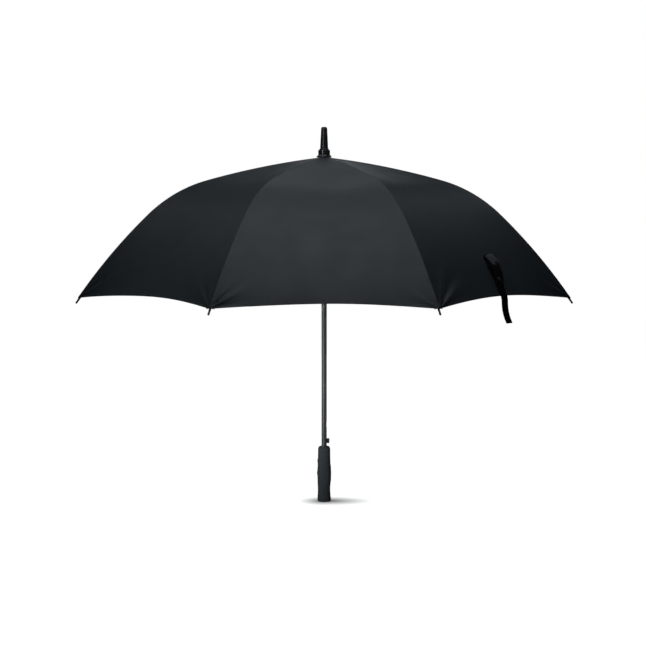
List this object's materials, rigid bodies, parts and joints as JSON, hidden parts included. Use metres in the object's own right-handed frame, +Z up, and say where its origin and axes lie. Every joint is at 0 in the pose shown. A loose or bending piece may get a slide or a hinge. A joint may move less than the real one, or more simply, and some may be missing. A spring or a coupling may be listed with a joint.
{
  "type": "golf umbrella",
  "caption": "Open stick umbrella with a domed black canopy of sewn gores on glass-fibre ribs, a sprung runner, a push button and a straight foam handle.",
  "frame": {"origin": "on the shaft's axis at the bottom of the handle", "axes": "+Z up the shaft to the ferrule, +X the side of the push button, -Y the front, centred on a gore"},
  "size_m": [1.2144, 1.2144, 0.9915],
  "materials": {
    "canopy_fabric": "tightly woven polyester, water-repellent, slight sheen",
    "strap_fabric": "folded canopy cloth, stitched",
    "rib_fibreglass": "pultruded glass fibre, satin black",
    "stretcher_rod": "glass-fibre rod with moulded ends, satin black",
    "shaft_fibreglass": "wound glass-fibre tube, glossy black",
    "fitting_plastic": "moulded nylon, black",
    "top_plastic": "moulded plastic, satin black",
    "button_plastic": "moulded plastic, black",
    "grip_foam": "moulded EVA foam, fine matte skin",
    "spring_steel": "drawn steel wire, zinc plated",
    "snap_metal": "lacquered press stud, gunmetal"
  },
  "bodies": {
    "root": {"shaft": "shaft_fibreglass", "crown_notch": "fitting_plastic", "crown_wire": "spring_steel", "crown_pin": "spring_steel", "top_cap": "top_plastic", "ferrule": "top_plastic", "grip": "grip_foam", "handle_core": "fitting_plastic", "end_plug": "fitting_plastic"},
    "runner": {"runner": "fitting_plastic", "opening_spring": "spring_steel"},
    "spring_collar": {"spring_collar": "fitting_plastic"},
    "button": {"button": "button_plastic", "latch": "spring_steel", "button_spring": "spring_steel"},
    "rib_inner_1": {"rib_inner_1": "rib_fibreglass"},
    "rib_outer_1": {"rib_outer_1": "rib_fibreglass"},
    "stretcher_1": {"stretcher_1": "stretcher_rod"},
    "canopy_inner_1": {"canopy_inner_1": "canopy_fabric"},
    "canopy_outer_1": {"canopy_outer_1": "canopy_fabric"},
    "rib_inner_2": {"rib_inner_2": "rib_fibreglass"},
    "rib_outer_2": {"rib_outer_2": "rib_fibreglass"},
    "stretcher_2": {"stretcher_2": "stretcher_rod"},
    "canopy_inner_2": {"canopy_inner_2": "canopy_fabric"},
    "canopy_outer_2": {"canopy_outer_2": "canopy_fabric"},
    "rib_inner_3": {"rib_inner_3": "rib_fibreglass"},
    "rib_outer_3": {"rib_outer_3": "rib_fibreglass"},
    "stretcher_3": {"stretcher_3": "stretcher_rod"},
    "canopy_inner_3": {"canopy_inner_3": "canopy_fabric"},
    "canopy_outer_3": {"canopy_outer_3": "canopy_fabric"},
    "rib_inner_4": {"rib_inner_4": "rib_fibreglass"},
    "rib_outer_4": {"rib_outer_4": "rib_fibreglass"},
    "stretcher_4": {"stretcher_4": "stretcher_rod"},
    "canopy_inner_4": {"canopy_inner_4": "canopy_fabric"},
    "canopy_outer_4": {"canopy_outer_4": "canopy_fabric"},
    "rib_inner_5": {"rib_inner_5": "rib_fibreglass"},
    "rib_outer_5": {"rib_outer_5": "rib_fibreglass"},
    "stretcher_5": {"stretcher_5": "stretcher_rod"},
    "canopy_inner_5": {"canopy_inner_5": "canopy_fabric"},
    "canopy_outer_5": {"canopy_outer_5": "canopy_fabric"},
    "rib_inner_6": {"rib_inner_6": "rib_fibreglass"},
    "rib_outer_6": {"rib_outer_6": "rib_fibreglass"},
    "stretcher_6": {"stretcher_6": "stretcher_rod"},
    "canopy_inner_6": {"canopy_inner_6": "canopy_fabric"},
    "canopy_outer_6": {"canopy_outer_6": "canopy_fabric"},
    "rib_inner_7": {"rib_inner_7": "rib_fibreglass"},
    "rib_outer_7": {"rib_outer_7": "rib_fibreglass"},
    "stretcher_7": {"stretcher_7": "stretcher_rod"},
    "canopy_inner_7": {"canopy_inner_7": "canopy_fabric"},
    "canopy_outer_7": {"canopy_outer_7": "canopy_fabric"},
    "rib_inner_8": {"rib_inner_8": "rib_fibreglass"},
    "rib_outer_8": {"rib_outer_8": "rib_fibreglass"},
    "stretcher_8": {"stretcher_8": "stretcher_rod"},
    "canopy_inner_8": {"canopy_inner_8": "canopy_fabric"},
    "canopy_outer_8": {"canopy_outer_8": "canopy_fabric", "strap_tab": "strap_fabric", "strap_snap": "snap_metal"},
    "strap": {"strap": "strap_fabric"}
  },
  "joints": [
    {"name": "runner_slide", "type": "slide", "parent": "root", "child": "runner", "axis": [0, 0, -1], "range_m": [0, 0.34432], "stiffness_N_per_m": 60, "springref_m": -0.2, "deforming": ["opening_spring", "canopy_inner_1", "canopy_inner_2", "canopy_inner_3", "canopy_inner_4", "canopy_inner_5", "canopy_inner_6", "canopy_inner_7", "canopy_inner_8", "canopy_outer_1", "canopy_outer_2", "canopy_outer_3", "canopy_outer_4", "canopy_outer_5", "canopy_outer_6", "canopy_outer_7", "canopy_outer_8"]},
    {"name": "spring_collar_slide", "type": "slide", "parent": "root", "child": "spring_collar", "axis": [0, 0, -1], "range_m": [0, 0.42734]},
    {"name": "button_press", "type": "slide", "parent": "root", "child": "button", "axis": [-1, 0, 0], "range_m": [0, 0.003], "stiffness_N_per_m": 700, "springref_m": -0.001, "deforming": ["button_spring"]},
    {"name": "rib_1_fold", "type": "hinge", "parent": "root", "child": "rib_inner_1", "pos_m": [0.01155, 0.00478, 0.90803], "axis": [-0.3827, 0.9239, 0], "range_deg": [0, 75.19]},
    {"name": "rib_1_flex", "type": "hinge", "parent": "rib_inner_1", "child": "rib_outer_1", "pos_m": [0.34743, 0.14391, 0.82542], "axis": [-0.3827, 0.9239, 0], "range_deg": [-28.68, 0]},
    {"name": "stretcher_1_fold", "type": "hinge", "parent": "rib_inner_1", "child": "stretcher_1", "pos_m": [0.26326, 0.10905, 0.84822], "axis": [-0.3827, 0.9239, 0], "range_deg": [-122.62, 0]},
    {"name": "canopy_1_fold", "type": "hinge", "parent": "root", "child": "canopy_inner_1", "pos_m": [0.012, 0, 0.9115], "axis": [0, 1, 0], "range_deg": [0, 73.02]},
    {"name": "canopy_1_flex", "type": "hinge", "parent": "canopy_inner_1", "child": "canopy_outer_1", "pos_m": [0.34884, 0, 0.82868], "axis": [0, 1, 0], "range_deg": [-32.6, 0]},
    {"name": "rib_2_fold", "type": "hinge", "parent": "root", "child": "rib_inner_2", "pos_m": [0.00478, 0.01155, 0.90803], "axis": [-0.9239, 0.3827, 0], "range_deg": [0, 75.19]},
    {"name": "rib_2_flex", "type": "hinge", "parent": "rib_inner_2", "child": "rib_outer_2", "pos_m": [0.14391, 0.34743, 0.82542], "axis": [-0.9239, 0.3827, 0], "range_deg": [-28.68, 0]},
    {"name": "stretcher_2_fold", "type": "hinge", "parent": "rib_inner_2", "child": "stretcher_2", "pos_m": [0.10905, 0.26326, 0.84822], "axis": [-0.9239, 0.3827, 0], "range_deg": [-122.62, 0]},
    {"name": "canopy_2_fold", "type": "hinge", "parent": "root", "child": "canopy_inner_2", "pos_m": [0.00848, 0.00848, 0.9115], "axis": [-0.7071, 0.7071, 0], "range_deg": [0, 73.02]},
    {"name": "canopy_2_flex", "type": "hinge", "parent": "canopy_inner_2", "child": "canopy_outer_2", "pos_m": [0.24667, 0.24667, 0.82868], "axis": [-0.7071, 0.7071, 0], "range_deg": [-32.6, 0]},
    {"name": "rib_3_fold", "type": "hinge", "parent": "root", "child": "rib_inner_3", "pos_m": [-0.00478, 0.01155, 0.90803], "axis": [-0.9239, -0.3827, 0], "range_deg": [0, 75.19]},
    {"name": "rib_3_flex", "type": "hinge", "parent": "rib_inner_3", "child": "rib_outer_3", "pos_m": [-0.14391, 0.34743, 0.82542], "axis": [-0.9239, -0.3827, 0], "range_deg": [-28.68, 0]},
    {"name": "stretcher_3_fold", "type": "hinge", "parent": "rib_inner_3", "child": "stretcher_3", "pos_m": [-0.10905, 0.26326, 0.84822], "axis": [-0.9239, -0.3827, 0], "range_deg": [-122.62, 0]},
    {"name": "canopy_3_fold", "type": "hinge", "parent": "root", "child": "canopy_inner_3", "pos_m": [0, 0.012, 0.9115], "axis": [-1, 0, 0], "range_deg": [0, 73.02]},
    {"name": "canopy_3_flex", "type": "hinge", "parent": "canopy_inner_3", "child": "canopy_outer_3", "pos_m": [0, 0.34884, 0.82868], "axis": [-1, 0, 0], "range_deg": [-32.6, 0]},
    {"name": "rib_4_fold", "type": "hinge", "parent": "root", "child": "rib_inner_4", "pos_m": [-0.01155, 0.00478, 0.90803], "axis": [-0.3827, -0.9239, 0], "range_deg": [0, 75.19]},
    {"name": "rib_4_flex", "type": "hinge", "parent": "rib_inner_4", "child": "rib_outer_4", "pos_m": [-0.34743, 0.14391, 0.82542], "axis": [-0.3827, -0.9239, 0], "range_deg": [-28.68, 0]},
    {"name": "stretcher_4_fold", "type": "hinge", "parent": "rib_inner_4", "child": "stretcher_4", "pos_m": [-0.26326, 0.10905, 0.84822], "axis": [-0.3827, -0.9239, 0], "range_deg": [-122.62, 0]},
    {"name": "canopy_4_fold", "type": "hinge", "parent": "root", "child": "canopy_inner_4", "pos_m": [-0.00848, 0.00848, 0.9115], "axis": [-0.7071, -0.7071, 0], "range_deg": [0, 73.02]},
    {"name": "canopy_4_flex", "type": "hinge", "parent": "canopy_inner_4", "child": "canopy_outer_4", "pos_m": [-0.24667, 0.24667, 0.82868], "axis": [-0.7071, -0.7071, 0], "range_deg": [-32.6, 0]},
    {"name": "rib_5_fold", "type": "hinge", "parent": "root", "child": "rib_inner_5", "pos_m": [-0.01155, -0.00478, 0.90803], "axis": [0.3827, -0.9239, 0], "range_deg": [0, 75.19]},
    {"name": "rib_5_flex", "type": "hinge", "parent": "rib_inner_5", "child": "rib_outer_5", "pos_m": [-0.34743, -0.14391, 0.82542], "axis": [0.3827, -0.9239, 0], "range_deg": [-28.68, 0]},
    {"name": "stretcher_5_fold", "type": "hinge", "parent": "rib_inner_5", "child": "stretcher_5", "pos_m": [-0.26326, -0.10905, 0.84822], "axis": [0.3827, -0.9239, 0], "range_deg": [-122.62, 0]},
    {"name": "canopy_5_fold", "type": "hinge", "parent": "root", "child": "canopy_inner_5", "pos_m": [-0.012, 0, 0.9115], "axis": [0, -1, 0], "range_deg": [0, 73.02]},
    {"name": "canopy_5_flex", "type": "hinge", "parent": "canopy_inner_5", "child": "canopy_outer_5", "pos_m": [-0.34884, 0, 0.82868], "axis": [0, -1, 0], "range_deg": [-32.6, 0]},
    {"name": "rib_6_fold", "type": "hinge", "parent": "root", "child": "rib_inner_6", "pos_m": [-0.00478, -0.01155, 0.90803], "axis": [0.9239, -0.3827, 0], "range_deg": [0, 75.19]},
    {"name": "rib_6_flex", "type": "hinge", "parent": "rib_inner_6", "child": "rib_outer_6", "pos_m": [-0.14391, -0.34743, 0.82542], "axis": [0.9239, -0.3827, 0], "range_deg": [-28.68, 0]},
    {"name": "stretcher_6_fold", "type": "hinge", "parent": "rib_inner_6", "child": "stretcher_6", "pos_m": [-0.10905, -0.26326, 0.84822], "axis": [0.9239, -0.3827, 0], "range_deg": [-122.62, 0]},
    {"name": "canopy_6_fold", "type": "hinge", "parent": "root", "child": "canopy_inner_6", "pos_m": [-0.00848, -0.00848, 0.9115], "axis": [0.7071, -0.7071, 0], "range_deg": [0, 73.02]},
    {"name": "canopy_6_flex", "type": "hinge", "parent": "canopy_inner_6", "child": "canopy_outer_6", "pos_m": [-0.24667, -0.24667, 0.82868], "axis": [0.7071, -0.7071, 0], "range_deg": [-32.6, 0]},
    {"name": "rib_7_fold", "type": "hinge", "parent": "root", "child": "rib_inner_7", "pos_m": [0.00478, -0.01155, 0.90803], "axis": [0.9239, 0.3827, 0], "range_deg": [0, 75.19]},
    {"name": "rib_7_flex", "type": "hinge", "parent": "rib_inner_7", "child": "rib_outer_7", "pos_m": [0.14391, -0.34743, 0.82542], "axis": [0.9239, 0.3827, 0], "range_deg": [-28.68, 0]},
    {"name": "stretcher_7_fold", "type": "hinge", "parent": "rib_inner_7", "child": "stretcher_7", "pos_m": [0.10905, -0.26326, 0.84822], "axis": [0.9239, 0.3827, 0], "range_deg": [-122.62, 0]},
    {"name": "canopy_7_fold", "type": "hinge", "parent": "root", "child": "canopy_inner_7", "pos_m": [0, -0.012, 0.9115], "axis": [1, 0, 0], "range_deg": [0, 73.02]},
    {"name": "canopy_7_flex", "type": "hinge", "parent": "canopy_inner_7", "child": "canopy_outer_7", "pos_m": [0, -0.34884, 0.82868], "axis": [1, 0, 0], "range_deg": [-32.6, 0]},
    {"name": "rib_8_fold", "type": "hinge", "parent": "root", "child": "rib_inner_8", "pos_m": [0.01155, -0.00478, 0.90803], "axis": [0.3827, 0.9239, 0], "range_deg": [0, 75.19]},
    {"name": "rib_8_flex", "type": "hinge", "parent": "rib_inner_8", "child": "rib_outer_8", "pos_m": [0.34743, -0.14391, 0.82542], "axis": [0.3827, 0.9239, 0], "range_deg": [-28.68, 0]},
    {"name": "stretcher_8_fold", "type": "hinge", "parent": "rib_inner_8", "child": "stretcher_8", "pos_m": [0.26326, -0.10905, 0.84822], "axis": [0.3827, 0.9239, 0], "range_deg": [-122.62, 0]},
    {"name": "canopy_8_fold", "type": "hinge", "parent": "root", "child": "canopy_inner_8", "pos_m": [0.00848, -0.00848, 0.9115], "axis": [0.7071, 0.7071, 0], "range_deg": [0, 73.02]},
    {"name": "canopy_8_flex", "type": "hinge", "parent": "canopy_inner_8", "child": "canopy_outer_8", "pos_m": [0.24667, -0.24667, 0.82868], "axis": [0.7071, 0.7071, 0], "range_deg": [-32.6, 0]},
    {"name": "strap_hang", "type": "hinge", "parent": "canopy_outer_8", "child": "strap", "pos_m": [0.42382, -0.42382, 0.57054], "axis": [0.7071, 0.7071, 0], "range_deg": [-40.71, 0]}
  ],
  "couplings": [
    {"joint": "spring_collar_slide", "follows": "runner_slide", "ratio": 1.2382},
    {"joint": "rib_1_fold", "follows": "runner_slide", "rad_per_m": 3.7962},
    {"joint": "rib_1_flex", "follows": "runner_slide", "rad_per_m": -1.4385},
    {"joint": "stretcher_1_fold", "follows": "runner_slide", "rad_per_m": -6.2004},
    {"joint": "canopy_1_fold", "follows": "runner_slide", "rad_per_m": 3.6859},
    {"joint": "canopy_1_flex", "follows": "runner_slide", "rad_per_m": -1.6374},
    {"joint": "rib_2_fold", "follows": "runner_slide", "rad_per_m": 3.7962},
    {"joint": "rib_2_flex", "follows": "runner_slide", "rad_per_m": -1.4385},
    {"joint": "stretcher_2_fold", "follows": "runner_slide", "rad_per_m": -6.2004},
    {"joint": "canopy_2_fold", "follows": "runner_slide", "rad_per_m": 3.6859},
    {"joint": "canopy_2_flex", "follows": "runner_slide", "rad_per_m": -1.6374},
    {"joint": "rib_3_fold", "follows": "runner_slide", "rad_per_m": 3.7962},
    {"joint": "rib_3_flex", "follows": "runner_slide", "rad_per_m": -1.4385},
    {"joint": "stretcher_3_fold", "follows": "runner_slide", "rad_per_m": -6.2004},
    {"joint": "canopy_3_fold", "follows": "runner_slide", "rad_per_m": 3.6859},
    {"joint": "canopy_3_flex", "follows": "runner_slide", "rad_per_m": -1.6374},
    {"joint": "rib_4_fold", "follows": "runner_slide", "rad_per_m": 3.7962},
    {"joint": "rib_4_flex", "follows": "runner_slide", "rad_per_m": -1.4385},
    {"joint": "stretcher_4_fold", "follows": "runner_slide", "rad_per_m": -6.2004},
    {"joint": "canopy_4_fold", "follows": "runner_slide", "rad_per_m": 3.6859},
    {"joint": "canopy_4_flex", "follows": "runner_slide", "rad_per_m": -1.6374},
    {"joint": "rib_5_fold", "follows": "runner_slide", "rad_per_m": 3.7962},
    {"joint": "rib_5_flex", "follows": "runner_slide", "rad_per_m": -1.4385},
    {"joint": "stretcher_5_fold", "follows": "runner_slide", "rad_per_m": -6.2004},
    {"joint": "canopy_5_fold", "follows": "runner_slide", "rad_per_m": 3.6859},
    {"joint": "canopy_5_flex", "follows": "runner_slide", "rad_per_m": -1.6374},
    {"joint": "rib_6_fold", "follows": "runner_slide", "rad_per_m": 3.7962},
    {"joint": "rib_6_flex", "follows": "runner_slide", "rad_per_m": -1.4385},
    {"joint": "stretcher_6_fold", "follows": "runner_slide", "rad_per_m": -6.2004},
    {"joint": "canopy_6_fold", "follows": "runner_slide", "rad_per_m": 3.6859},
    {"joint": "canopy_6_flex", "follows": "runner_slide", "rad_per_m": -1.6374},
    {"joint": "rib_7_fold", "follows": "runner_slide", "rad_per_m": 3.7962},
    {"joint": "rib_7_flex", "follows": "runner_slide", "rad_per_m": -1.4385},
    {"joint": "stretcher_7_fold", "follows": "runner_slide", "rad_per_m": -6.2004},
    {"joint": "canopy_7_fold", "follows": "runner_slide", "rad_per_m": 3.6859},
    {"joint": "canopy_7_flex", "follows": "runner_slide", "rad_per_m": -1.6374},
    {"joint": "rib_8_fold", "follows": "runner_slide", "rad_per_m": 3.7962},
    {"joint": "rib_8_flex", "follows": "runner_slide", "rad_per_m": -1.4385},
    {"joint": "stretcher_8_fold", "follows": "runner_slide", "rad_per_m": -6.2004},
    {"joint": "canopy_8_fold", "follows": "runner_slide", "rad_per_m": 3.6859},
    {"joint": "canopy_8_flex", "follows": "runner_slide", "rad_per_m": -1.6374},
    {"joint": "strap_hang", "follows": "runner_slide", "rad_per_m": -2.0485}
  ]
}
